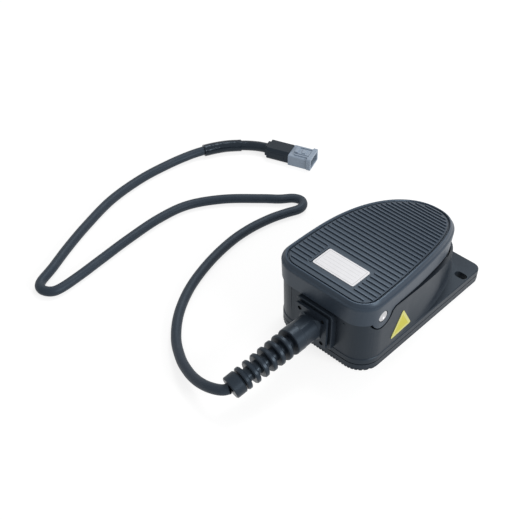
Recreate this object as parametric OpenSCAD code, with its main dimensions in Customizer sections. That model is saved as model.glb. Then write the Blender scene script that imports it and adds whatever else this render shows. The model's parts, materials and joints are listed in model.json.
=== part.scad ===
// Industrial foot switch: a hinged ribbed pedal over a sealed base, on a round lead with a push-in connector.
// X is the width, Y runs from the cable end (negative) to the toe (positive), Z is up from the floor.

/* [Base] */
// Width of the base
base_w = 75; // [74:0.5:76]
// Half of the base's length, from the cable end to the frame's origin
cable_end = 60; // [59:0.5:61]
// Toe end of the mounting plate
toe_end = 66; // [65:0.5:67]
// Height of the mounting plate's top face
plate_top = 9.9; // [9:0.1:10.5]
// Radius of the two corners at the cable end
end_r = 15; // [12:0.5:17]
// Wall thickness of the housing
wall = 2.6; // [2.2:0.1:2.8]
// Height of the seam between housing and pedal at the cable end
seam_z = 39.9; // [39:0.1:40.2]

/* [Mounting] */
// Distance between the two slots
slot_gap = 64; // [62:0.5:65]
// Width of a slot, for an M5 screw
slot_w = 5.5; // [4.5:0.1:6]
// Length of a slot
slot_l = 9; // [8:0.5:10]

/* [Pedal] */
// Height of the pedal's rim over the floor
top_z = 57.1; // [56.5:0.1:58]
// Distance between the ribs of the tread
rib_pitch = 3.78; // [3.6:0.02:4.2]
// Height of a rib
rib_h = 0.84; // [0.6:0.02:1]
// Radius of the toe's downward curve
toe_curve = 238; // [220:1:260]
// Radius of the hinge pin
pin_r = 2.6; // [2.2:0.1:2.8]

/* [Gland] */
// Side of the gland's square flange
flange_w = 25.2; // [24:0.2:26]
// Height of the gland's axis
gland_z = 25.4; // [25:0.1:25.8]
// Number of rings on the strain relief
rings = 6; // [5:1:6]

/* [Lead] */
// Diameter of the lead
cable_d = 7; // [6:0.5:7]

/* [Hidden] */
$fn = 48;

half_w = base_w / 2;
mat_top = 1.6;
cover_top = 5;
foot_z = 5.8;
pin_y = -45;
pin_z = 43;
ear_r = 8.4;
ear_x = 37.4;
seam_gap = 0.6;
rim_wall = 1.5;
deck_low = 18.5;
deck_high = 36.5;
deck_t = 2.5;
step_y = -4;
slot_y = 49;
plunger_y = -14;
spring_y = 24;
spring_base = 20;
spring_top = 46;
cable_r = cable_d / 2;

// ---- Outlines ----

// Right half of a plan: a round corner at the cable end, then a superellipse to the toe
function half_plan(w, back, r, centre, tip, e, n = 32) = concat(
    [for (i = [0:12]) [w - r + r * sin(i * 7.5), back + r - r * cos(i * 7.5)]],
    [for (i = [0:n]) let (t = 90 * i / n) [w * pow(cos(t), 2 / e), centre + (tip - centre) * pow(sin(t), 2 / e)]]);

// Both halves of a plan as one closed list of points
function whole_plan(h) = concat(h, [for (i = [len(h) - 2:-1:0]) [-h[i][0], h[i][1]]]);

function wall_plan(inset) = whole_plan(
    half_plan(half_w - 0.3 - inset, -cable_end + 0.3 + inset, end_r - inset, -42, toe_end - 2 - inset, 2.4));

function pedal_half(inset) = half_plan(38.1 - inset, -62.7 + inset, 15.8 - inset, -46.9, 63.1 - inset, 2.31);

module foot_plan(inset) {
    w = half_w - inset;
    r = end_r - inset;
    polygon(concat(
        [for (i = [0:12]) [w - r + r * sin(i * 7.5), -cable_end + inset + r - r * cos(i * 7.5)]],
        [for (i = [0:6]) [w - 6 + 6 * cos(i * 15), toe_end - inset - 6 + 6 * sin(i * 15)]],
        [for (i = [6:-1:0]) [-w + 6 - 6 * cos(i * 15), toe_end - inset - 6 + 6 * sin(i * 15)]],
        [for (i = [12:-1:0]) [-w + r - r * sin(i * 7.5), -cable_end + inset + r - r * cos(i * 7.5)]]));
}

// ---- Heights along the side ----

// Crown of the pedal's rim
function crown(y) = top_z - pow(max(0, y + 20.6), 2) / (2 * toe_curve);

// Lower edge of the pedal's skirt
function skirt(y) = y < -52 ? seam_z + seam_gap
    : y < -36 ? seam_z + seam_gap + (43.7 - seam_z - seam_gap) * (y + 52) / 16
    : 43.7 - pow(max(0, y + 34), 2) / 500 - pow(max(0, y - 42), 2) / 300;

// Upper edge of the housing behind the hinge
function rim(y) = y < 50 ? skirt(y) - 0.1 - 0.0425 * (y - pin_y) : rim(49.99) - 0.17 * (y - 50);

// ---- Shared shapes ----

module rod(r, z0, z1) translate([0, 0, z0]) cylinder(r = r, h = z1 - z0);

// A cylinder along X, centred in a side view at [y, z]
module x_rod(r, x0, x1, y, z) translate([x0, y, z]) rotate([0, 90, 0]) cylinder(r = r, h = x1 - x0);

// A cylinder along Y towards the cable end
module y_rod(r, y0, y1, x, z) translate([x, y0, z]) rotate([90, 0, 0]) cylinder(r = r, h = y0 - y1);

module both_sides() for (s = [-1, 1]) scale([s, 1, 1]) children();

module slots(grow) for (s = [-1, 1]) translate([s * slot_gap / 2, slot_y, -1]) {
    r = slot_w / 2 + grow;
    run = (slot_l - slot_w) / 2;
    translate([-run, 0, 0]) cylinder(r = r, h = 20);
    translate([run, 0, 0]) cylinder(r = r, h = 20);
    translate([-run, -r, 0]) cube([2 * run, 2 * r, 20]);
}

cover_points = [[-27, -45], [27, -45], [-27, 16], [27, 16]];
module at_cover_points() for (p = cover_points) translate([p[0], p[1], 0]) children();

gland_hole = 9.1;
module at_gland_holes() for (i = [-1, 1], k = [-1, 1]) translate([i * gland_hole, 0, gland_z + k * gland_hole]) children();

// A solid between two lists of equal length: stacked rings of points, closed by a fan at each end
module loft(sections) {
    n = len(sections[0]);
    m = len(sections);
    polyhedron(points = [for (s = sections) each s],
        faces = concat([[for (i = [0:n - 1]) i]],
            [for (k = [0:m - 2], i = [0:n - 1]) let (j = (i + 1) % n)
                [k * n + i, (k + 1) * n + i, (k + 1) * n + j, k * n + j]],
            [[for (i = [n - 1:-1:0]) (m - 1) * n + i]]), convexity = 6);
}

// A tube swept along a route, with its rings square to the route
function unit(v) = v / norm(v);
function heading(p, i) = unit(p[min(i + 1, len(p) - 1)] - p[max(i - 1, 0)]);
function ring_at(c, d, r, sides) = let (a = unit(cross(d, [0.02, 0.03, 1])), b = cross(d, a))
    [for (k = [0:sides - 1]) c + r * (cos(360 * k / sides) * a + sin(360 * k / sides) * b)];
module tube(route, r, sides) loft([for (i = [0:len(route) - 1]) ring_at(route[i], heading(route, i), r, sides)]);

// A smooth route through chosen points: each gap is cut into steps of a Catmull-Rom curve
function knot(p, i) = i < 0 ? 2 * p[0] - p[1] : i >= len(p) ? 2 * p[len(p) - 1] - p[len(p) - 2] : p[i];
function between(a, b, c, d, t) = 0.5 * (2 * b + (c - a) * t + (2 * a - 5 * b + 4 * c - d) * t * t
    + (3 * b - a - 3 * c + d) * t * t * t);
function smooth(p, steps) = concat([for (i = [0:len(p) - 2], s = [0:steps - 1])
    between(knot(p, i - 1), p[i], p[i + 1], knot(p, i + 2), s / steps)], [p[len(p) - 1]]);

// ---- Base ----

// Side view of all that is cut away above the housing's walls
module above_rim() {
    polygon(concat(
        [[-80, 80], [-80, seam_z], [-54.2, seam_z]],
        [for (a = [198:12:318]) [pin_y - 0.3 + 9.3 * cos(a), pin_z + 9.3 * sin(a)]],
        [[-37.4, 37.8], [-35.6, 41.6]],
        [for (y = [-33:3:75]) [y, rim(y)]],
        [[80, 80]]));
}

module side_cut(w) rotate([90, 0, 90]) translate([0, 0, -w / 2]) linear_extrude(w) children();

// Rounded triangle made of three discs and the plate between them
module round_triangle(r) {
    tips = [for (a = [90, 210, 330]) 10.4 * [cos(a), sin(a)]];
    for (t = tips) translate(t) circle(r = r);
    polygon([for (i = [0:2], a = [-60, 60]) tips[i] + r * [cos(90 + 120 * i + a), sin(90 + 120 * i + a)]]);
}

module housing() color("#23262c") difference() {
    union() {
        translate([0, 0, foot_z]) linear_extrude(plate_top - 0.6 - foot_z) foot_plan(0);
        translate([0, 0, plate_top - 0.6]) linear_extrude(0.6, scale = [0.987, 0.991], slices = 1) foot_plan(0);
        translate([0, 0, plate_top - 0.5]) linear_extrude(35.5, scale = [1.019, 1.011], slices = 1) polygon(wall_plan(0));
        intersection() {
            union() {
                translate([0, 0, plate_top - 0.1]) linear_extrude(0.7, scale = 0.978, slices = 1) polygon(wall_plan(-1.8));
                translate([0, 0, plate_top + 0.5]) linear_extrude(1.6, scale = 0.976, slices = 1) polygon(wall_plan(-0.9));
            }
            linear_extrude(20) foot_plan(0.45);
        }
        gland_boss();
        translate([20, -59.4, 35.3]) rotate([90, 0, 0]) cylinder(r = 0.6, h = 1.1);
    }
    difference() {
        side_cut(100) above_rim();
        translate([-50, -90, -1]) cube([100, 30.2, seam_z + 0.9]);
    }
    upper_space();
    lower_chamber();
    slots(0);
    both_sides() x_rod(4.02, 29, 35.6, pin_y, pin_z);
    y_rod(8.1, -50, -70, 0, gland_z);
    at_gland_holes() rotate([90, 0, 0]) translate([0, 0, 55]) cylinder(r = 1.0, h = 15);
    at_cover_points() rod(1.5, foot_z - 1, 15);
    translate([0, plunger_y, 0]) rod(5, 30, 40);
    for (y = [-32, -13]) translate([16, y, 0]) rod(1.5, 33, 35.8);
    for (s = [-1, 1]) translate([s * 8, -50, 0]) rod(1.5, 28, 33);
    translate([-22.55, -60.6, 12]) cube([0.3, 0.8, 26.3]);
}

module gland_boss() {
    w = 14.4;
    translate([0, -59, gland_z]) rotate([90, 0, 0]) linear_extrude(5.1) square_r(2 * w, 2.4);
    translate([0, -64.1, gland_z]) rotate([90, 0, 0]) linear_extrude(0.4, scale = 0.975, slices = 1) square_r(2 * w, 2.4);
}

// A square with round corners from discs and two bars
module square_r(w, r) {
    for (i = [-1, 1], k = [-1, 1]) translate([i * (w / 2 - r), k * (w / 2 - r)]) circle(r = r);
    square([w, w - 2 * r], center = true);
    square([w - 2 * r, w], center = true);
}

// The open space over the decks, with the hinge bosses left standing at the sides
module upper_space() difference() {
    union() {
        translate([0, 0, deck_high]) linear_extrude(20) polygon(wall_plan(wall - 0.5));
        intersection() {
            translate([0, 0, deck_low]) linear_extrude(40) polygon(wall_plan(wall - 0.3));
            translate([-50, step_y, 0]) cube([100, 90, 60]);
        }
        intersection() {
            translate([0, 0, deck_low]) linear_extrude(40) polygon(wall_plan(rim_wall));
            translate([-50, 38, 0]) cube([100, 50, 60]);
        }
    }
    both_sides() {
        x_rod(6.4, 29.5, 34.3, pin_y, pin_z);
        translate([29.5, pin_y - 6.4, deck_high - 1]) cube([4.8, 12.8, pin_z - deck_high + 1]);
    }
    translate([0, spring_y, deck_low - 1]) difference() {
        cylinder(r = 10.2, h = 5);
        translate([0, 0, 2.5]) cylinder(r = 9, h = 5);
    }
}

// The sealed chamber under the decks, with screw posts and the clamp's pedestal left standing
module lower_chamber() difference() {
    union() {
        translate([0, 0, foot_z - 1]) linear_extrude(deck_low - deck_t - foot_z + 1) polygon(wall_plan(wall));
        intersection() {
            translate([0, 0, foot_z - 1]) linear_extrude(deck_high - deck_t - foot_z + 1) polygon(wall_plan(wall));
            translate([-50, -90, 0]) cube([100, 90 + step_y - deck_t, 60]);
        }
    }
    at_cover_points() rod(4, foot_z - 2, 40);
    translate([-11, -54, 29.2]) cube([22, 8, 10]);
}

module bottom_cover() color("#1d2025") difference() {
    translate([0, 0, mat_top]) linear_extrude(cover_top - mat_top) foot_plan(0.1);
    slots(0.25);
    at_cover_points() {
        rod(1.7, 0, 6);
        rod(3.4, 0, mat_top + 1.8);
    }
}

module cover_gasket() color("#0c0d0f") difference() {
    translate([0, 0, cover_top]) linear_extrude(foot_z - cover_top) foot_plan(1.1);
    translate([0, 0, cover_top - 1]) linear_extrude(3) polygon(wall_plan(wall + 2));
    slots(0.4);
}

module rubber_mat() color("#15171a") difference() {
    linear_extrude(mat_top) foot_plan(0.3);
    translate([0, 0, -0.01]) linear_extrude(0.61) intersection() {
        foot_plan(-1);
        for (i = [-16:16]) translate([i * 2.3 + 0.7, -70]) square([0.9, 150]);
    }
    slots(0.4);
    at_cover_points() rod(3.5, -1, 3);
}

module cover_screws() color("#9a9da2") at_cover_points() difference() {
    union() {
        rod(3.3, mat_top + 0.2, mat_top + 1.8);
        rod(1.45, mat_top + 1.7, 14);
    }
    rod(1.3, 0, mat_top + 1, $fn = 6);
}

// ---- Gland and strain relief ----

module gland_gasket() color("#0c0d0f") difference() {
    translate([0, -64.5, gland_z]) rotate([90, 0, 0]) linear_extrude(1.2) square_r(23.4, 1.2);
    y_rod(8.1, -60, -70, 0, gland_z);
    at_gland_holes() rotate([90, 0, 0]) translate([0, 0, 60]) cylinder(r = 1.1, h = 10);
}

// Axis of the strain relief: straight for the sleeve, then sagging and turning a little to one side
relief_y = -67.4;
function sag(s) = max(0, s - 19);
function relief_axis(s) = [-0.0020 * sag(s) * sag(s), relief_y - s + 0.0005 * sag(s) * sag(s),
    gland_z - 0.0034 * sag(s) * sag(s)];
function relief_heading(s) = unit(relief_axis(s + 0.5) - relief_axis(s - 0.5));
relief_end = 66.4;

module on_relief(s) {
    d = relief_heading(s);
    translate(relief_axis(s)) rotate([0, 0, atan2(-d[0], d[1])]) rotate([90 - asin(-d[2]) - 180, 0, 0]) children();
}

module disc(r, h, edge) rotate_extrude() polygon([[0, -h / 2], [r - edge, -h / 2], [r, -h / 2 + edge],
    [r, h / 2 - edge], [r - edge, h / 2], [0, h / 2]]);

module strain_relief() color("#1b1d21") difference() {
    union() {
        translate([0, -65.7, gland_z]) rotate([90, 0, 0]) linear_extrude(1.7) square_r(flange_w, 1.6);
        y_rod(8, -56, -66, 0, gland_z);
        intersection() {
            union() {
                y_rod(8.7, -67.3, relief_y - 14, 0, gland_z);
                translate([0, relief_y, gland_z]) rotate([90, 0, 0]) cylinder(r1 = 10.2, r2 = 8.7, h = 1.4);
            }
            translate([-8.4, relief_y - 20, gland_z - 12]) cube([16.8, 22, 20.2]);
        }
        translate([0, relief_y - 16.2, gland_z]) rotate([90, 0, 0]) disc(8.95, 7.6, 0.5);
        tube([for (s = [15:4:63]) relief_axis(s)], 4.6, 16);
        for (i = [0:rings - 1]) on_relief(25.2 + 6.25 * i) disc(8.75 - 0.2 * i, 3.1, 0.7);
        on_relief(relief_end - 3.8) disc(7.5, 7.6, 0.6);
    }
    at_gland_holes() {
        y_rod(1.1, -60, -70, 0, 0);
        y_rod(1.5, -66.2, -70, 0, 0);
    }
}

module gland_screws() color("#33363b") at_gland_holes() {
    y_rod(0.95, -57, -66.3, 0, 0);
    y_rod(1.42, -66.2, -66.6, 0, 0);
}

// ---- Pedal ----

// Inset of the skirt's lower edge, which grows towards the toe
function taper(y) = 0.7 + 0.5 * min(1, max(0, (y + 10) / 20));

function ring_level(inset, below) = [for (p = whole_plan(pedal_half(inset))) [p[0], p[1], crown(p[1]) - below]];
function ring_edge(extra) = let (outer = whole_plan(pedal_half(0)), inner = whole_plan(pedal_half(4)))
    [for (i = [0:len(outer) - 1]) let (p = outer[i], q = p + (inner[i] - p) * (taper(p[1]) + extra) / 4)
        [q[0], q[1], skirt(q[1])]];

// Profile of the rim from the skirt up and over the bead to the tread: inset and depth below the crown
rim_profile = [[0.1, 4.6], [0, 3.6], [0.25, 2.9], [0.8, 2.5], [1.15, 2.35], [1.4, 1.7], [1.85, 0.75],
    [2.5, 0.12], [3.1, 0.03], [3.5, 0.35], [3.8, 1.1], [4.1, 1.65], [4.6, 1.65], [4.9, rib_h]];

module shell() {
    sections = concat([ring_edge(2.4), ring_edge(0)], [for (p = rim_profile) ring_level(p[0], p[1])]);
    under = [ring_edge(2.4), ring_level(2.6, 6.4), ring_level(4.2, 4)];
    n = len(sections[0]);
    h = (n + 1) / 2;
    m = len(sections);
    all = concat(sections, [under[1], under[2]]);
    // Cap of a ring in strips across the width, each of them flat
    strips = function (base) concat(
        [for (i = [0:h - 2]) i == h - 2 ? [base + i, base + i + 1, base + i + 2]
            : [base + i, base + i + 1, base + n - 2 - i, base + n - 1 - i]]);
    polyhedron(points = [for (s = all) each s],
        faces = concat(
            [for (k = [0:m - 2], i = [0:n - 1]) let (j = (i + 1) % n)
                [k * n + i, (k + 1) * n + i, (k + 1) * n + j, k * n + j]],
            [for (f = strips((m - 1) * n)) [for (i = [len(f) - 1:-1:0]) f[i]]],
            [for (i = [0:n - 1]) let (j = (i + 1) % n) [i, j, m * n + j, m * n + i]],
            [for (i = [0:n - 1]) let (j = (i + 1) % n) [m * n + i, m * n + j, (m + 1) * n + j, (m + 1) * n + i]],
            strips((m + 1) * n)), convexity = 8);
}

// Half length of a rib at y, from the tread's plan
function tread_half(y) = 33.2 * pow(max(0, 1 - pow(max(0, (y + 46.9) / 105.1), 2.31)), 1 / 2.31);
function rib_tip(y) = y < -52 ? 29.4 : tread_half(y + 0.95) - 0.1;

module rib(y, x0, x1) {
    cut = 0.8;
    section = function (x, low) [[x, y + 0.95, crown(y + 0.95) - rib_h - 0.4],
        [x, y + 0.5, crown(y + 0.5) - low], [x, y - 0.5, crown(y - 0.5) - low],
        [x, y - 0.95, crown(y - 0.95) - rib_h - 0.4]];
    loft([section(x0, rib_h + 0.2), section(x0 + cut, 0.05), section(x1 - cut, 0.05), section(x1, rib_h + 0.2)]);
}

first_rib = -50 - rib_pitch;
last_rib = floor((56 - first_rib) / rib_pitch);
label_y = [-49.5, -32.5];
label_x = [-16, 16.4];

module ribs() for (k = [0:last_rib]) {
    y = first_rib + k * rib_pitch;
    tip = rib_tip(y);
    if (y > label_y[0] - 1.6 && y < label_y[1] + 1.6) {
        rib(y, -tip, label_x[0] - 1.9);
        rib(y, label_x[1] + 1.2, tip);
    } else {
        rib(y, -tip, tip);
    }
}

// The ear round the hinge pin, in side view
module ear_shape() {
    translate([pin_y, pin_z]) circle(r = ear_r);
    polygon([[-53.4, 43], [-53.4, 47], [-29, 47], [-32.6, 44.1], [-36.6, 41.6], [-38, 38.6]]);
}

module pedal() color("#2a2e35") difference() {
    union() {
        shell();
        ribs();
        translate([label_x[0] - 1.3, label_y[0] - 0.6, 55.9]) cube([0.7, 18.2, 0.95]);
        intersection() {
            for (x = [-ear_x, ear_x - 2.6]) translate([x, 0, 0])
                rotate([90, 0, 90]) linear_extrude(2.6) ear_shape();
            linear_extrude(60) polygon(whole_plan(pedal_half(0.65)));
        }
        translate([0, plunger_y, 0]) rod(6, 48, 54);
        translate([0, spring_y, 0]) {
            rod(9.4, spring_top, 50);
            rod(4.8, spring_top - 3, spring_top + 1);
        }
        for (s = [-1, 1]) translate([s * 17, 36, 0]) rod(3.4, 24, 47);
    }
    x_rod(pin_r, -50, 50, pin_y, pin_z);
    both_sides() x_rod(4.1, 36.2, 50, pin_y, pin_z);
    translate([0, plunger_y, 0]) rod(3, 40, 53.6);
}

module label() color("white") translate([0, 0, top_z - rib_h]) linear_extrude(0.4) translate([
    (label_x[0] + label_x[1]) / 2, (label_y[0] + label_y[1]) / 2]) {
    square([label_x[1] - label_x[0], 14], center = true);
    square([label_x[1] - label_x[0] - 3, 17], center = true);
    for (i = [-1, 1], k = [-1, 1]) translate([i * 14.7, k * 7]) circle(r = 1.5);
}

// The pin's ends are rolled over into dished heads
module hinge_pin() color("#d8dadd") {
    x_rod(pin_r, -36.4, 36.4, pin_y, pin_z);
    for (s = [-1, 1]) translate([s * 36.3, pin_y, pin_z]) rotate([0, s * 90, 0]) rotate_extrude()
        polygon([[0, 0], [3.9, 0], [3.9, 0.7], [3.4, 1.2], [2.7, 1.2], [1.6, 0.45], [0, 0.3]]);
}

module pin_clips() color("#a8abb0") for (x = [-29.2, 28.4]) difference() {
    x_rod(4.6, x, x + 0.8, pin_y, pin_z);
    x_rod(pin_r, x - 1, x + 2, pin_y, pin_z);
}

module pin_bushes() color("#c9b27a") for (x = [-34.3, 29.5]) difference() {
    x_rod(4, x, x + 4.8, pin_y, pin_z);
    x_rod(pin_r + 0.05, x - 1, x + 6, pin_y, pin_z);
}

module actuator_screw() color("#b9bcc1") translate([0, plunger_y, 0]) {
    rod(3, 42, 53.4);
    translate([0, 0, 41.1]) cylinder(r1 = 1.6, r2 = 3, h = 0.9);
}

module lock_nut() color("#b9bcc1") translate([0, plunger_y, 0]) difference() {
    rod(5.4, 45.2, 48, $fn = 6);
    rod(3, 44, 50);
}

module stop_pads() color("#111214") for (s = [-1, 1]) translate([s * 17, 36, 0]) rod(3.4, 22.1, 24);

module return_spring() color("#c4c7cb") {
    turns = 7;
    wire = 0.8;
    rise = spring_top - spring_base - 2 * wire;
    tube([for (i = [0:12 * turns]) let (t = i / (12 * turns), a = 360 * turns * t)
        [7 * cos(a), spring_y + 7 * sin(a), spring_base + wire + rise * t]], wire - 0.02, 8);
}

// ---- Switch inside the base ----

module plunger() color("#e8e4d8") translate([0, plunger_y, 0]) {
    rod(2.45, 27, 40.6);
    translate([0, 0, 40.6]) cylinder(r1 = 2.45, r2 = 1.8, h = 0.4);
}

module plunger_guide() color("#c9b27a") translate([0, plunger_y, 0]) difference() {
    union() {
        rod(4.95, 33.2, 37);
        rod(6.6, deck_high, 37.8);
    }
    rod(2.5, 30, 40);
}

module switch_case() color("#3b3e44") difference() {
    translate([-9, -38, 13]) cube([18, 31, 16]);
    translate([0, plunger_y, 0]) rod(2.5, 25, 35);
    for (y = [-33.5, -11]) x_rod(1.55, -20, 20, y, 16);
}

module switch_cover() color("#8c1f1c") difference() {
    translate([-10.5, -38, 13]) cube([1.5, 31, 16]);
    for (y = [-33.5, -11]) x_rod(1.55, -20, 20, y, 16);
}

module switch_terminals() color("#c8a040") for (y = [-34, -22.5, -11.5]) difference() {
    translate([-0.4, y - 3, 6.4]) cube([0.8, 6, 6.6]);
    x_rod(1, -3, 3, y, 9);
}

module switch_bracket() color("#9a9da2") difference() {
    union() {
        translate([9, -38, 11]) cube([1.5, 31, 23]);
        translate([9, -38, 32.5]) cube([12, 31, 1.5]);
    }
    for (y = [-33.5, -11]) x_rod(1.55, 5, 20, y, 16);
    for (y = [-32, -13]) translate([16, y, 0]) rod(1.6, 30, 40);
}

module switch_screws() color("#b9bcc1") for (y = [-33.5, -11]) {
    x_rod(1.5, -10.5, 12.6, y, 16);
    x_rod(2.8, -12.3, -10.5, y, 16);
    difference() {
        translate([10.5, y, 16]) rotate([0, 90, 0]) cylinder(r = 3.1, h = 2.1, $fn = 6);
        x_rod(1.5, 9, 14, y, 16);
    }
}

module bracket_screws() color("#b9bcc1") for (y = [-32, -13]) translate([16, y, 0]) {
    rod(1.45, 32.5, 35.6);
    rod(2.8, 30.8, 32.5);
}

module inner_cable() color("#17181b") y_rod(cable_r, -44.7, -56, 0, gland_z);

module cable_clamp() color("#6d7076") difference() {
    translate([-11, -54, 20]) cube([22, 8, 9.2]);
    y_rod(cable_r, -40, -60, 0, gland_z);
    for (s = [-1, 1]) translate([s * 8, -50, 0]) rod(1.6, 10, 40);
}

module clamp_screws() color("#b9bcc1") for (s = [-1, 1]) translate([s * 8, -50, 0]) {
    rod(1.45, 20, 32.8);
    rod(2.7, 18.2, 20);
}

module inner_wires() for (i = [0:2]) {
    end_y = [-34, -22.5, -11.5][i];
    color(["#8a5a2b", "#2b4fa0", "#3f8f3a"][i])
        tube(smooth([[2 * (i - 1), -44, gland_z], [2 * (i - 1) - 3, -41.6, 23], [-13 - 2 * i, -40.5, 14],
            [-13 - 2 * i, end_y - 3, 9], [-6, end_y - 0.5, 8.2], [-0.4, end_y, 8]], 3), 0.7, 8);
}

module triangle_decal() color("#e6dc2e") translate([37.05, -24.3, 21.6]) rotate([0, 1.1, 1.5])
    rotate([90, 0, 90]) linear_extrude(0.5) round_triangle(1);

// ---- Lead and connector ----

lead = [[-4.5, -132.7, 17.8], [-7.8, -135.7, 16.4], [-13.6, -137.5, 14.5], [-21.2, -138.1, 12.2],
    [-30.2, -137.2, 9.9], [-39.9, -134.4, 7.7], [-51.9, -129, 5.4], [-67.5, -118.5, 3.7],
    [-82.8, -101.8, 3.5], [-95.4, -79.8, 3.5], [-104.1, -54.2, 3.5], [-108.7, -29.1, 3.5],
    [-109.1, -9, 3.5], [-106.4, 9, 3.5], [-102.4, 22, 3.5], [-98.7, 31.5, 3.5], [-99.5, 37.4, 3.5],
    [-104.2, 41, 3.5], [-110.3, 38.8, 3.5], [-117, 31, 3.5], [-127.4, 21.8, 3.5], [-147.1, 2, 3.5],
    [-160.8, -21.1, 3.5], [-164.5, -46.3, 3.5], [-163.2, -75.5, 3.5], [-160.4, -103, 3.5],
    [-158.2, -124, 3.5], [-157.5, -140.4, 3.5], [-160, -147.2, 3.5], [-166.2, -149.8, 3.5],
    [-171.9, -146, 3.5], [-177.6, -132, 3.5], [-186.6, -112, 3.5], [-196, -88, 3.5], [-206, -56, 3.5],
    [-209.6, -24, 3.5], [-208.2, 3, 3.5], [-204.5, 21.8, 4.1], [-200.2, 33.8, 4.7]];
shrink = [[-200.2, 33.8, 4.7], [-195.8, 43, 4.8], [-190.8, 51, 4.8], [-184, 58.8, 4.8]];
sleeve = [[-184, 58.8, 4.8], [-178.8, 63.2, 4.9], [-172.9, 67, 5.1], [-166.4, 70, 5.2]];

// One smooth line through all three, two steps to a gap; each piece stops short of the next
function rest_of(p) = [for (i = [1:len(p) - 1]) p[i]];
line = smooth(concat(lead, rest_of(shrink), rest_of(sleeve)), 2);
shrink_at = 2 * len(lead) - 2;
sleeve_at = shrink_at + 2 * len(shrink) - 2;
function stretch(a, b) = [for (i = [a:b]) line[i] + (i == a ? 0.4 * unit(line[a + 1] - line[a])
    : i == b ? 0.4 * unit(line[b - 1] - line[b]) : [0, 0, 0])];

module cable() color("#24262b") tube(stretch(0, shrink_at), cable_r, 10);
module heat_shrink() color("#101114") tube(stretch(shrink_at, sleeve_at), 4.6, 12);
module lead_sleeve() color("#1a1c20") tube(stretch(sleeve_at, len(line) - 1), 3.9, 12);

module at_connector() translate([-166.4, 70, 5.2]) rotate([0, 0, 20]) children();

// A block along its own X with bevelled long edges
module bevelled(x0, x1, w, z0, z1, b) translate([x0, 0, 0]) rotate([90, 0, 90]) linear_extrude(x1 - x0)
    polygon([[-w / 2 + b, z0], [w / 2 - b, z0], [w / 2, z0 + b], [w / 2, z1 - b], [w / 2 - b, z1],
        [-w / 2 + b, z1], [-w / 2, z1 - b], [-w / 2, z0 + b]]);

module connector_boot() color("#131417") at_connector() {
    bevelled(0, 2.2, 10.5, -4.6, 4.4, 1.6);
    bevelled(2.2, 20.8, 14.5, -5.2, 5.2, 1.7);
    bevelled(5, 17, 15.3, -2.6, 2.4, 0.4);
}

module connector_housing() color("#b9bcc2") at_connector() difference() {
    union() {
        bevelled(20.8, 36.6, 16, -5.2, 4.2, 0.7);
        bevelled(36.2, 39.4, 17.2, -5.2, 5, 0.8);
        for (s = [-1, 1]) translate([25, s * 5.2 - 0.6, 4]) cube([12, 1.2, 1.2]);
    }
    translate([27, -6.6, -3.8]) cube([20, 13.2, 6.6]);
    for (i = [-1:1]) translate([22, 4.2 * i - 1.2, -1.8]) cube([6, 2.4, 2.6]);
}

module connector_latch() color("#c9ccd2") at_connector() {
    translate([24.4, -3.6, 4.2]) cube([11.6, 7.2, 0.9]);
    translate([24.4, -3.6, 5.1]) cube([2.6, 7.2, 1.1]);
    translate([30, -2.6, 5.1]) cube([3, 5.2, 0.8]);
}

module connector_contacts() color("#d9b44a") at_connector() for (i = [-1:1])
    translate([22, 4.2 * i - 1.2, -1.8]) difference() {
        cube([11, 2.4, 2.6]);
        translate([2, 0.4, 0.5]) cube([20, 1.6, 1.6]);
    }

housing();
bottom_cover();
cover_gasket();
rubber_mat();
cover_screws();
gland_gasket();
strain_relief();
gland_screws();
pedal();
label();
hinge_pin();
pin_clips();
pin_bushes();
actuator_screw();
lock_nut();
stop_pads();
return_spring();
plunger();
plunger_guide();
switch_case();
switch_cover();
switch_terminals();
switch_bracket();
switch_screws();
bracket_screws();
inner_cable();
cable_clamp();
clamp_screws();
inner_wires();
triangle_decal();
cable();
heat_shrink();
lead_sleeve();
connector_boot();
connector_housing();
connector_latch();
connector_contacts();
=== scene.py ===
# %% [markdown]
# # An industrial foot switch
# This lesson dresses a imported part: a hinged, ribbed pedal on a sealed base, with a ringed strain relief
# and a lead that ends in a small latching connector. The solids are finished already. What is left is
# what a product photographer and a finisher would do: set the camera, lay the lead, round the edges,
# give each surface its own finish and light it.

# %% Load the part
import json
import math
import bpy
import bmesh
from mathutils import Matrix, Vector

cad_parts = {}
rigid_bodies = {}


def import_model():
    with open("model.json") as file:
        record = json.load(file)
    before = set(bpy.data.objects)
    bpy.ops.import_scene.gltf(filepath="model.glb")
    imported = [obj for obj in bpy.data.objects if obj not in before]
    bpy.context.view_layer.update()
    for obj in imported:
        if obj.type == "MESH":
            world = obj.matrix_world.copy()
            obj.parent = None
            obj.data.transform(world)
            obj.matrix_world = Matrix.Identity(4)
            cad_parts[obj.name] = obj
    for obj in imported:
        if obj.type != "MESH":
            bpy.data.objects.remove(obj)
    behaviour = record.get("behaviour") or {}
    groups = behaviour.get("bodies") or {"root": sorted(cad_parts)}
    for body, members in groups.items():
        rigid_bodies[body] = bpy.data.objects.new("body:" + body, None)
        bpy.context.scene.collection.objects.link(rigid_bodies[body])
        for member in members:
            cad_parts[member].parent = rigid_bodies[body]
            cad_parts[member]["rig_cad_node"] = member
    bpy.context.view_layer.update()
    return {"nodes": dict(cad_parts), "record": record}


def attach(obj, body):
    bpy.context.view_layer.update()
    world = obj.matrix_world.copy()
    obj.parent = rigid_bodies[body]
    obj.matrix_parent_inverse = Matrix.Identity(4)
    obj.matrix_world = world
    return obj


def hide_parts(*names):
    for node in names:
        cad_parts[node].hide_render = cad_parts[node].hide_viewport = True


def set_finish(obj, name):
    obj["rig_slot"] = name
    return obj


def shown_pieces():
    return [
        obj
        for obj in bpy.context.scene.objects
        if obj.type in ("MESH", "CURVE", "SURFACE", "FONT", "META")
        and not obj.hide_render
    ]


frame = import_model()
scene = bpy.context.scene
scene.view_settings.view_transform = "Standard"
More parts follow.
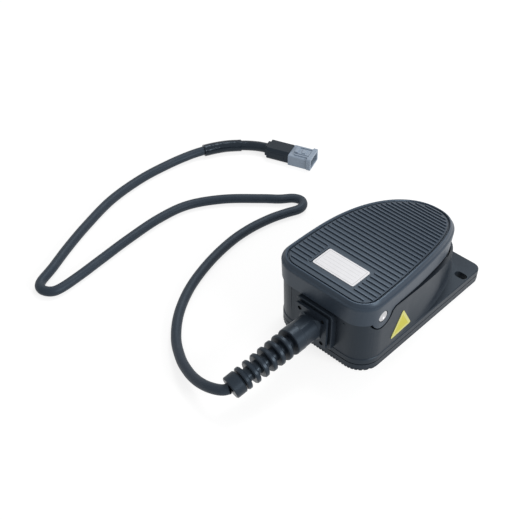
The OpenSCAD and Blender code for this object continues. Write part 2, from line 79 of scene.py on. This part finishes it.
MM = 0.001
print("nodes loaded:", len(frame["nodes"]))

# %% [markdown]
# ## The camera
# The part is seen from the cable end's right corner, from well above. A long lens keeps the sides of the
# base nearly parallel. Aiming by a target point is easier to read than three rotation angles, so the
# camera's rotation comes from the line between its place and the target.

# %% Camera
camera_place = Vector((274.5, -398.8, 465.2)) * MM
camera_target = Vector((-83.35, -24.9, 0)) * MM
camera_data = bpy.data.cameras.new("camera")
camera_data.lens = 69.23
camera_data.sensor_width = 36
camera = bpy.data.objects.new("camera", camera_data)
camera.location = camera_place
camera.rotation_euler = (camera_target - camera_place).to_track_quat("-Z", "Y").to_euler()
scene.collection.objects.link(camera)
scene.camera = camera
print("camera distance in mm:", round((camera_target - camera_place).length / MM, 1))

# %% [markdown]
# ## The lead's path
# The lead is a 7 mm round cable. It leaves the strain relief, sinks to the floor within a few diameters
# and lies there in two long bends. A designer would lay a real cable over the drawing; here the same
# points that the solid follows are joined by a smooth curve, which passes through every one of them.

# %% Lead: the route and the smooth line through it
lead_route = [(-4.5, -132.7, 17.8), (-7.8, -135.7, 16.4), (-13.6, -137.5, 14.5), (-21.2, -138.1, 12.2),
    (-30.2, -137.2, 9.9), (-39.9, -134.4, 7.7), (-51.9, -129, 5.4), (-67.5, -118.5, 3.7),
    (-82.8, -101.8, 3.5), (-95.4, -79.8, 3.5), (-104.1, -54.2, 3.5), (-108.7, -29.1, 3.5),
    (-109.1, -9, 3.5), (-106.4, 9, 3.5), (-102.4, 22, 3.5), (-98.7, 31.5, 3.5), (-99.5, 37.4, 3.5),
    (-104.2, 41, 3.5), (-110.3, 38.8, 3.5), (-117, 31, 3.5), (-127.4, 21.8, 3.5), (-147.1, 2, 3.5),
    (-160.8, -21.1, 3.5), (-164.5, -46.3, 3.5), (-163.2, -75.5, 3.5), (-160.4, -103, 3.5),
    (-158.2, -124, 3.5), (-157.5, -140.4, 3.5), (-160, -147.2, 3.5), (-166.2, -149.8, 3.5),
    (-171.9, -146, 3.5), (-177.6, -132, 3.5), (-186.6, -112, 3.5), (-196, -88, 3.5), (-206, -56, 3.5),
    (-209.6, -24, 3.5), (-208.2, 3, 3.5), (-204.5, 21.8, 4.1), (-200.2, 33.8, 4.7)]
shrink_route = [(-200.2, 33.8, 4.7), (-195.8, 43, 4.8), (-190.8, 51, 4.8), (-184, 58.8, 4.8)]
sleeve_route = [(-184, 58.8, 4.8), (-178.8, 63.2, 4.9), (-172.9, 67, 5.1), (-166.4, 70, 5.2)]


def smooth_line(points, steps):
    """A Catmull-Rom line: every gap between two points is cut into equal steps."""
    p = [Vector(q) for q in points]
    p = [2 * p[0] - p[1]] + p + [2 * p[-1] - p[-2]]
    line = []
    for a, b, c, d in zip(p, p[1:], p[2:], p[3:]):
        for s in range(steps):
            t = s / steps
            line.append(0.5 * (2 * b + (c - a) * t + (2 * a - 5 * b + 4 * c - d) * t ** 2
                + (3 * b - a - 3 * c + d) * t ** 3))
    return line + [p[-2]]


def line_length(line):
    return sum((b - a).length for a, b in zip(line, line[1:]))


whole_route = lead_route + shrink_route[1:] + sleeve_route[1:]
lead_line = smooth_line(whole_route, 8)
print("lead length in mm:", round(line_length(lead_line), 1))

# %% [markdown]
# ## The lead itself
# A cable could be a mesh swept along the line. A curve object with a round bevel is simpler: its own line
# stays the centreline, so the length can be measured, and the round section is added by Blender. The
# radius goes on the points and the bevel depth is one metre, because Blender's box round a curve counts
# the point's radius. The lead is drawn a tenth of a millimetre thin, to stay inside the solid's box.

# %% Lead: a round curve along the line
lead_radius = 3.4
shrink_radius = 4.6
sleeve_radius = 3.9


def round_curve(name, line, radius, resolution=10):
    """A tube of one open spline; line and radius are in millimetres."""
    data = bpy.data.curves.new(name, "CURVE")
    data.dimensions = "3D"
    data.bevel_depth = 1.0
    data.bevel_resolution = resolution
    data.use_fill_caps = True
    spline = data.splines.new("POLY")
    spline.points.add(len(line) - 1)
    for point, q in zip(spline.points, line):
        point.co = (q.x * MM, q.y * MM, q.z * MM, 1)
        point.radius = radius * MM
    spline.use_smooth = True
    tube = bpy.data.objects.new(name, data)
    scene.collection.objects.link(tube)
    return tube


lead = round_curve("lead", lead_line, lead_radius)
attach(lead, "base")
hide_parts("cable")
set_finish(lead, "cable_jacket")
shrink_tube = round_curve("shrink_tube", smooth_line(shrink_route, 10), shrink_radius, 12)
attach(shrink_tube, "base")
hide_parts("heat_shrink")
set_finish(shrink_tube, "heat_shrink_tube")
end_sleeve = round_curve("end_sleeve", smooth_line(sleeve_route, 10), sleeve_radius, 12)
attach(end_sleeve, "base")
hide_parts("lead_sleeve")
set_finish(end_sleeve, "heat_shrink_tube")
print("tubes laid: lead, shrink_tube, end_sleeve")

# %% [markdown]
# ## Rounding a machined or moulded solid
# A CAD solid has knife edges, and no real moulding does. Its mesh also arrives cut into long thin
# triangles. Sculpting the edges by hand would take days. Instead each solid is copied, its flat
# triangles are joined into whole faces, a Bevel modifier rounds what is left sharp, and the faces
# are shaded smooth up to a crease angle. The copy rides on the same body and stands for the solid.

# %% Helper: a dressed copy of a solid
def joined_flats(mesh, crease):
    """Welds the seams, joins flat triangles and marks every edge above the crease angle as sharp."""
    bm = bmesh.new()
    bm.from_mesh(mesh)
    bmesh.ops.remove_doubles(bm, verts=bm.verts, dist=0.002 * MM)
    bmesh.ops.dissolve_limit(bm, angle_limit=math.radians(0.4), verts=bm.verts, edges=bm.edges)
    for face in bm.faces:
        face.smooth = True
    for edge in bm.edges:
        edge.smooth = len(edge.link_faces) == 2 and edge.calc_face_angle(0) < math.radians(crease)
    bm.to_mesh(mesh)
    bm.free()


def rounded(piece, width, crease, segments=2):
    bevel = piece.modifiers.new("rounded edges", "BEVEL")
    bevel.width = width * MM
    bevel.segments = segments
    bevel.limit_method = "ANGLE"
    bevel.angle_limit = math.radians(crease)
    bevel.use_clamp_overlap = True
    bevel.harden_normals = True
    bevel.miter_outer = "MITER_ARC"


body_of_node = {}
for body_name, members in frame["record"]["behaviour"]["bodies"].items():
    for member in members:
        body_of_node[member] = body_name
slot_of_node = {}
for entry in frame["record"]["subparts"]:
    slot_of_node[entry["node"]] = entry["material_slot"]


def dressed(node, name, width=0.25, crease=32, segments=2):
    """A finished copy of a CAD node. width is the edge radius in millimetres, 0 for none."""
    mesh = frame["nodes"][node].data.copy()
    mesh.name = name
    if mesh.has_custom_normals:
        mesh.attributes.remove(mesh.attributes["custom_normal"])
    joined_flats(mesh, crease)
    piece = bpy.data.objects.new(name, mesh)
    scene.collection.objects.link(piece)
    if width:
        rounded(piece, width, crease, segments)
    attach(piece, body_of_node[node])
    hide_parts(node)
    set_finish(piece, slot_of_node[node])
    return piece


# %% [markdown]
# ## The base
# The housing is one moulding with an open top. A cover closes it from below, a rubber mat keeps it
# from sliding, and a flanged boot seals the cable's entry. All of them are dressed copies.

# %% Base pieces
base_shell = dressed("housing", "base_shell", 0.35, 30, 3)
base_cover = dressed("bottom_cover", "base_cover", 0.25)
base_mat = dressed("rubber_mat", "base_mat", 0.2)
cover_seal = dressed("cover_gasket", "cover_seal", 0.15)
cover_screw_set = dressed("cover_screws", "cover_screw_set", 0.15)
gland_seal = dressed("gland_gasket", "gland_seal", 0.25)
gland_boot = dressed("strain_relief", "gland_boot", 0.3, 38, 2)
gland_screw_set = dressed("gland_screws", "gland_screw_set", 0.12)
blank_triangle = dressed("triangle_decal", "blank_triangle", 0.06)
print("faces on the base shell:", len(base_shell.data.polygons))

# %% [markdown]
# ## The pedal and its hinge
# The pedal is a moulded lid with a rolled edge, a gutter inside it and a field of cross ribs. It turns on
# a steel pin that is held by two spring clips.

# %% Pedal pieces
pedal_lid = dressed("pedal", "pedal_lid", 0.12, 34, 1)
white_label = dressed("label", "white_label", 0.08)
pivot_pin = dressed("hinge_pin", "pivot_pin", 0.3, 30, 3)
pivot_clips = dressed("pin_clips", "pivot_clips", 0.08)
stop_cushions = dressed("stop_pads", "stop_cushions", 0.3)
print("faces on the pedal lid:", len(pedal_lid.data.polygons))

# %% [markdown]
# ## The connector
# A small three-way latching connector ends the lead: a black boot, a cool grey body with a flared
# mouth, a latch on top and three brass contacts inside.

# %% Connector pieces
plug_boot = dressed("connector_boot", "plug_boot", 0.6, 30, 3)
plug_body = dressed("connector_housing", "plug_body", 0.3, 30, 2)
plug_latch = dressed("connector_latch", "plug_latch", 0.2, 30, 2)
plug_contacts = dressed("connector_contacts", "plug_contacts", 0.1)
round(line_length(lead_line)) * MM

# %% [markdown]
# ## Sums with shader sockets
# A finish is a small calculation on every point of a surface: noise, a mask, a sum of the two. Wiring
# Math nodes one by one hides that calculation, so a socket is wrapped in a class that understands
# plus, minus and times, also with a plain number on the left. Every sum adds the Math node that it needs.

# %% Helper: a socket that can be added and multiplied
class Wire:
    def __init__(self, finish, socket):
        self.finish = finish
        self.socket = socket

    def maths(self, operation, left, right, clamp=False):
        settings = {"operation": operation, "use_clamp": clamp}
        return self.finish.node("ShaderNodeMath", settings, {0: left, 1: right})

    def __add__(self, other):
        return self.maths("ADD", self, other)

    def __sub__(self, other):
        return self.maths("SUBTRACT", self, other)

    def __rsub__(self, other):
        return self.maths("SUBTRACT", other, self)

    def __mul__(self, other):
        return self.maths("MULTIPLY", self, other)

    def __truediv__(self, other):
        return self.maths("DIVIDE", self, other)

    __radd__ = __add__
    __rmul__ = __mul__

    def held(self):
        """The value kept between 0 and 1."""
        return self.maths("ADD", self, 0.0, clamp=True)

    def above(self, edge):
        return self.maths("GREATER_THAN", self, edge)

    def size(self):
        return self.maths("ABSOLUTE", self, 0.0)

    def larger(self, other):
        return self.maths("MAXIMUM", self, other)


# %% Helper: a finish under construction
class Finish:
    """Wraps one material: node() adds any node, feed() joins the result to the main shader."""

    def __init__(self, name, constants):
        self.material = bpy.data.materials.new(name)
        self.material.use_nodes = True
        self.tree = self.material.node_tree
        self.shader = self.tree.nodes["Principled BSDF"]
        for socket, value in constants.items():
            self.shader.inputs[socket].default_value = value
        self.place = self.node("ShaderNodeTexCoord", {}, {}, "Object")

    def put(self, socket, value):
        if isinstance(value, Wire):
            self.tree.links.new(value.socket, socket)
        else:
            socket.default_value = value

    def node(self, kind, settings, sockets, output=0):
        """Adds a node: its settings first, then its sockets by name or number."""
        new = self.tree.nodes.new(kind)
        for setting, value in settings.items():
            if setting == "stops":
                self.set_stops(new.color_ramp, value)
            else:
                setattr(new, setting, value)
        for key, value in sockets.items():
            if isinstance(key, int):
                self.put(new.inputs[key], value)
            else:
                self.put([s for s in new.inputs if s.enabled and s.name == key][0], value)
        shown = [s for s in new.outputs if s.enabled]
        if isinstance(output, int):
            return Wire(self, shown[output])
        return Wire(self, [s for s in shown if s.name == output][0])

    def set_stops(self, ramp, stops):
        while len(ramp.elements) < len(stops):
            ramp.elements.new(0.5)
        for element, (position, colour) in zip(ramp.elements, stops):
            element.position = position
            element.color = colour

    def noise(self, size_mm, detail=3.0, stretch=(1, 1, 1), roughness=0.5):
        """Soft random values between 0 and 1, with spots of about size_mm."""
        place = self.node("ShaderNodeVectorMath", {"operation": "MULTIPLY"}, {0: self.place, 1: stretch})
        sockets = {"Vector": place, "Scale": 1000 / size_mm, "Detail": detail, "Roughness": roughness}
        return self.node("ShaderNodeTexNoise", {}, sockets, "Fac")

    def blend(self, factor, first, second):
        sockets = {"Factor": factor, "A": first, "B": second}
        return self.node("ShaderNodeMix", {"data_type": "RGBA"}, sockets)

    def axes(self):
        """The three coordinates of the point, in metres, as separate wires."""
        node = self.node("ShaderNodeSeparateXYZ", {}, {"Vector": self.place})
        outputs = node.socket.node.outputs
        return [Wire(self, outputs[i]) for i in range(3)]

    def bump(self, height, depth_mm, strength=1.0):
        sockets = {"Height": height, "Distance": depth_mm * MM, "Strength": strength}
        self.feed("Normal", self.node("ShaderNodeBump", {}, sockets))

    def feed(self, socket, value):
        self.put(self.shader.inputs[socket], value)


# %% [markdown]
# ## Moulded black plastic
# The base and pedal are glass-filled nylon from a spark-eroded mould, which leaves a fine satin grain.
# Three layers make it: the grain as bump, a slow change of gloss where hands and cleaning rags
# have been, and a trace of pale dust. An image of scratches would show its repeats, noise doesn't.

# %% Finish: black plastics
def grey(value, blue=1.0):
    return (value, value, value * blue, 1)


def slate(value):
    """A cool, slightly blue black or grey."""
    return (value * 0.72, value, value * 1.42, 1)


# A slightly blue reflection, which gives the black plastics their cool look
cool_shine = (0.66, 0.83, 1.0, 1)


def moulded_black(name, tone, gloss, grain_mm, grain_depth, dust=0.03):
    finish = Finish(name, {"Specular IOR Level": 0.30, "Specular Tint": cool_shine})
    cloud = finish.noise(14, 4)
    speck = finish.noise(1.1, 5, roughness=0.7)
    dusty = ((cloud * speck - 0.26) * 4).held() * dust
    finish.feed("Base Color", finish.blend(dusty, slate(tone), grey(0.35)))
    scuff = finish.noise(5, 5, (1, 0.25, 1), 0.65)
    finish.feed("Roughness", gloss + (cloud - 0.5) * 0.10 + (scuff - 0.5) * 0.08)
    grain = finish.noise(grain_mm, 2)
    finish.bump(grain, grain_depth, 0.6)
    return finish.material


satin_black = moulded_black("satin_black_plastic", 0.017, 0.42, 0.22, 0.012)
soft_black = moulded_black("soft_black_plastic", 0.020, 0.34, 0.5, 0.010)
seal_rubber = moulded_black("gasket_rubber", 0.012, 0.62, 0.35, 0.02, 0.06)
gloss_black = moulded_black("gloss_black_plastic", 0.012, 0.26, 0.6, 0.006, 0.02)

# %% [markdown]
# ## The pedal's own finish
# Shoes polish the tops of the ribs and leave dust between them. The tops are also painted lighter, partly
# as wear and partly as a painted highlight of the light that they catch. The mask for this follows the
# crown of the
# pedal: one sum gives the height of a point above the gutter floor, so the tops of all 30 ribs are found
# at once, without a drawn map of them.

# %% Finish: the ribbed pedal
crown_start = -20.6
crown_top = 57.1
crown_fall = 476


def rubbed_and_lit_pedal(name, tone):
    """The crown is level at crown_top up to crown_start along Y, and falls as a parabola after it."""
    finish = Finish(name, {"Specular IOR Level": 0.36, "Specular Tint": cool_shine})
    x, y, z = finish.axes()
    past_crown = (y * 1000 - crown_start).larger(0.0)
    crown = crown_top - past_crown * past_crown / crown_fall
    # Rib-top mask: it lowers the roughness as wear, and it lightens the colour as a painted highlight
    rib_top_wear_and_highlight = ((z * 1000 - crown + 0.45) * 2.5).held()
    speck = finish.noise(0.9, 5, roughness=0.7)
    cloud = finish.noise(16, 3)
    dust = ((1 - rib_top_wear_and_highlight) * (speck * cloud - 0.2) * 1.2).held() * 0.05
    # Rib tops painted up to 2.4 times lighter: partly wear, partly a painted highlight of the light on the
    # tops
    worn_and_lit_tone = finish.blend(rib_top_wear_and_highlight * 0.5, slate(tone), slate(tone * 2.4))
    finish.feed("Base Color", finish.blend(dust, worn_and_lit_tone, grey(0.4)))
    finish.feed("Roughness", 0.40 - rib_top_wear_and_highlight * 0.07 + (cloud - 0.5) * 0.08 + (speck - 0.5) * 0.06)
    grain = finish.noise(0.22, 2)
    finish.bump(grain, 0.012, 0.6)
    return finish.material


# The pedal's tone is about twice the base's: a painted lift for the extra light that its top catches
pedal_black = rubbed_and_lit_pedal("pedal_black_plastic", 0.037)

# %% [markdown]
# ## Metals
# Zinc plate, bright steel and spring wire differ in brightness and gloss, and in the length of the
# marks that their making leaves: short blotches on plate, long drawn lines on wire and ground pins.

# %% Finish: metals
def metal(name, tone, gloss, mark_mm, stretch, blue=1.02, depth=0.006):
    finish = Finish(name, {"Metallic": 1.0})
    marks = finish.noise(mark_mm, 4, stretch, 0.6)
    stain = finish.noise(6, 3)
    finish.feed("Base Color", finish.blend((stain * 0.6).held(), grey(tone, blue), grey(tone * 0.72, blue)))
    finish.feed("Roughness", gloss + (marks - 0.5) * 0.16)
    finish.bump(marks, depth, 0.7)
    return finish.material


zinc = metal("zinc_steel", 0.60, 0.34, 1.2, (1, 1, 1))
bright = metal("bright_steel", 0.62, 0.22, 0.4, (0.1, 1, 1), 1.02, 0.003)
spring_wire = metal("spring_steel", 0.52, 0.28, 0.5, (1, 1, 0.2))
blackened = metal("black_steel", 0.03, 0.38, 0.8, (1, 1, 1))
brass = metal("brass", 0.72, 0.3, 0.9, (1, 1, 1), 0.32)

# %% [markdown]
# ## Inner plastics, films and the lead
# The bearing plastic is a natural milky white, the switch has a grey case with a red cover, and the
# connector is a fine matt grey. All are one recipe with a colour, a gloss and a grain.

# %% Finish: coloured plastics
def coloured_plastic(name, colour, shade, gloss, grain_mm=0.3, depth=0.008):
    finish = Finish(name, {})
    cloud = finish.noise(3.5, 4)
    speck = finish.noise(0.7, 5, roughness=0.7)
    mottled = ((cloud - 0.35) * 1.6 + (speck - 0.5) * 0.5).held() * 0.35
    finish.feed("Base Color", finish.blend(mottled, colour, shade))
    finish.feed("Roughness", gloss + (cloud - 0.5) * 0.12)
    finish.bump(finish.noise(grain_mm, 2), depth, 0.6)
    return finish.material


bearing_white = coloured_plastic("bearing_plastic", (0.74, 0.71, 0.62, 1), (0.58, 0.55, 0.47, 1), 0.42)
switch_grey = coloured_plastic("grey_plastic", (0.10, 0.105, 0.115, 1), (0.06, 0.063, 0.07, 1), 0.5)
switch_red = coloured_plastic("red_plastic", (0.35, 0.03, 0.025, 1), (0.22, 0.02, 0.02, 1), 0.32)
wire_colour = coloured_plastic("wire_insulation", (0.28, 0.16, 0.09, 1), (0.16, 0.09, 0.05, 1), 0.35)
light_grey = coloured_plastic("light_grey_plastic", (0.26, 0.32, 0.40, 1), (0.19, 0.24, 0.30, 1), 0.45)

# %% [markdown]
# The cable's jacket is extruded and nearly smooth, and a little talc from the drum stays on it. The
# shrunk tube near the connector is glossy, with soft folds where it necks down onto the cable.

# %% Finish: jacket and shrunk tube
def jacket(name):
    finish = Finish(name, {"Specular IOR Level": 0.34, "Specular Tint": cool_shine})
    cloud = finish.noise(9, 4)
    streak = finish.noise(1.6, 5, roughness=0.7)
    talc = ((cloud * streak - 0.22) * 3).held() * 0.06
    finish.feed("Base Color", finish.blend(talc, slate(0.027), grey(0.28)))
    finish.feed("Roughness", 0.50 + (streak - 0.5) * 0.14)
    finish.bump(finish.noise(0.6, 2), 0.004, 0.4)
    return finish.material


def shrunk(name):
    finish = Finish(name, {"Specular IOR Level": 0.3, "Specular Tint": cool_shine})
    fold = finish.noise(4.5, 2, (1, 1, 0.6))
    finish.feed("Base Color", finish.blend((fold - 0.3).held() * 0.3, slate(0.012), slate(0.03)))
    finish.feed("Roughness", 0.22 + (finish.noise(2, 4) - 0.5) * 0.14)
    finish.bump(fold, 0.55, 0.8)
    return finish.material


jacket_black = jacket("cable_jacket")
shrunk_black = shrunk("heat_shrink_tube")

# %% [markdown]
# ## The blank label and the blank triangle
# The label is a plain white film with a thin border and a few ruled lines, as a blank form has. The
# triangle is plain yellow film with a paler rim. Both are drawn by sums on the point's own place: a
# line is where the distance to its centre is smaller than half its width.

# %% Finish: films
def ruled_label(name, x_low, x_high, y_low, y_high):
    finish = Finish(name, {"Specular IOR Level": 0.4})
    x, y, z = finish.axes()
    x = x * 1000
    y = y * 1000
    across = (x - (x_low + x_high) / 2).size()
    along = (y - (y_low + y_high) / 2).size()
    half_x = (x_high - x_low) / 2
    half_y = (y_high - y_low) / 2
    edge = (across - half_x).larger(along - half_y)
    border = ((edge + 1.35).size() * -1).above(-0.12)
    phase = finish.node("ShaderNodeMath", {"operation": "PINGPONG"}, {0: y - (y_low + 4.3), 1: 1.4})
    rule = (phase * -1).above(-0.13) * (along * -1).above(2.4 - half_y) * (across * -1).above(3.0 - half_x)
    ink = (border + rule * 0.45).held()
    stain = finish.noise(7, 4)
    paper = finish.blend((stain * 0.5).held(), grey(0.78, 1.03), grey(0.70, 1.03))
    finish.feed("Base Color", finish.blend(ink * 0.6, paper, grey(0.12)))
    finish.feed("Roughness", 0.42 + (stain - 0.5) * 0.12)
    finish.bump(finish.noise(0.3, 3), 0.008, 0.6)
    return finish.material


def rimmed_triangle(name, y_mid, z_mid, radius):
    finish = Finish(name, {"Specular IOR Level": 0.25})
    x, y, z = finish.axes()
    y = y * 1000 - y_mid
    z = z * 1000 - z_mid
    lower = z * -1
    left = z * 0.5 - y * 0.866
    right = z * 0.5 + y * 0.866
    edge = lower.larger(left).larger(right)
    rim = edge.above(radius / 2 - 0.9)
    stain = finish.noise(4, 4)
    yellow = finish.blend((stain * 0.4).held(), (0.50, 0.46, 0.02, 1), (0.42, 0.39, 0.02, 1))
    finish.feed("Base Color", finish.blend(rim, yellow, (0.54, 0.52, 0.15, 1)))
    finish.feed("Roughness", 0.34 + (stain - 0.5) * 0.15)
    finish.bump(finish.noise(0.4, 3), 0.006, 0.6)
    return finish.material


label_film = ruled_label("white_film", -16, 16.4, -49.5, -32.5)
triangle_film = rimmed_triangle("yellow_film", -24.3, 21.6, 10.4)
print("finishes made:", len(bpy.data.materials))

# %% [markdown]
# ## Handing out the finishes
# Every piece names its slot, and a table says which finish a slot gets. The inner works stay as the
# plain solids, because their shape is already right, and take their finish in the same way.

# %% Assign finishes
finish_of_slot = {"satin_black_plastic": satin_black, "soft_black_plastic": soft_black,
    "gasket_rubber": seal_rubber, "zinc_steel": zinc, "black_steel": blackened, "bright_steel": bright,
    "spring_steel": spring_wire, "bearing_plastic": bearing_white, "grey_plastic": switch_grey,
    "red_plastic": switch_red, "brass": brass, "cable_jacket": jacket_black,
    "heat_shrink_tube": shrunk_black, "wire_insulation": wire_colour, "yellow_film": triangle_film,
    "white_film": label_film, "gloss_black_plastic": gloss_black, "light_grey_plastic": light_grey}


def give_finish(piece, material):
    piece.data.materials.clear()
    piece.data.materials.append(material)


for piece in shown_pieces():
    node_name = piece.get("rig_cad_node")
    slot_name = piece.get("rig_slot") or slot_of_node[node_name]
    give_finish(piece, finish_of_slot[slot_name])
give_finish(pedal_lid, pedal_black)

# %% [markdown]
# ## Floor and light
# A product studio lights a black object with large white surfaces, because what one sees on black plastic
# is mostly the reflection of the room. The world is a plain white room, a little darker as a light than
# as a background. One soft box lights the right side and one hangs above. The floor shows white to the
# camera and to reflections but keeps the soft contact shadow.

# %% World
def camera_like(tree):
    """1 for what the camera or a mirror or glass sees directly, 0 for light that is only gathered."""
    path = tree.nodes.new("ShaderNodeLightPath")
    first = tree.nodes.new("ShaderNodeMath")
    first.operation = "MAXIMUM"
    tree.links.new(path.outputs["Is Camera Ray"], first.inputs[0])
    tree.links.new(path.outputs["Is Glossy Ray"], first.inputs[1])
    second = tree.nodes.new("ShaderNodeMath")
    second.operation = "MAXIMUM"
    tree.links.new(first.outputs[0], second.inputs[0])
    tree.links.new(path.outputs["Is Transmission Ray"], second.inputs[1])
    return second.outputs[0]


world = bpy.data.worlds.new("white room")
scene.world = world
world.use_nodes = True
room = world.node_tree
background = room.nodes["Background"]
background.inputs["Color"].default_value = grey(1.0)
level = room.nodes.new("ShaderNodeMapRange")
level.inputs["To Min"].default_value = 0.45
level.inputs["To Max"].default_value = 1.0
room.links.new(camera_like(room), level.inputs["Value"])
room.links.new(level.outputs["Result"], background.inputs["Strength"])

# %% Floor
floor_size = 10.0
floor_mesh = bpy.data.meshes.new("floor")
corner = floor_size / 2
floor_corners = [(-corner, -corner, 0), (corner, -corner, 0), (corner, corner, 0), (-corner, corner, 0)]
floor_mesh.from_pydata(floor_corners, [], [(0, 1, 2, 3)])
floor = bpy.data.objects.new("floor", floor_mesh)
scene.collection.objects.link(floor)
floor_paint = bpy.data.materials.new("floor paint")
floor_paint.use_nodes = True
tree = floor_paint.node_tree
paint = tree.nodes["Principled BSDF"]
paint.inputs["Base Color"].default_value = grey(0.30)
paint.inputs["Roughness"].default_value = 0.9
paint.inputs["Specular IOR Level"].default_value = 0.0
paint.inputs["Emission Color"].default_value = grey(1.0)
glow = tree.nodes.new("ShaderNodeMapRange")
glow.inputs["To Min"].default_value = 0.35
glow.inputs["To Max"].default_value = 0.79
tree.links.new(camera_like(tree), glow.inputs["Value"])
tree.links.new(glow.outputs["Result"], paint.inputs["Emission Strength"])
floor_mesh.materials.append(floor_paint)


# %% Soft boxes
def soft_box(name, place, target, size, power):
    data = bpy.data.lights.new(name, "AREA")
    data.shape = "SQUARE"
    data.size = size
    data.energy = power
    lamp = bpy.data.objects.new(name, data)
    lamp.location = place
    lamp.rotation_euler = (Vector(target) - Vector(place)).to_track_quat("-Z", "Y").to_euler()
    scene.collection.objects.link(lamp)
    return lamp


soft_box("right box", (0.9, 0.1, 0.45), (0, 0, 0.03), 0.45, 7)
soft_box("high box", (-0.25, 0.55, 1.0), (0, 0, 0.03), 0.45, 4.5)
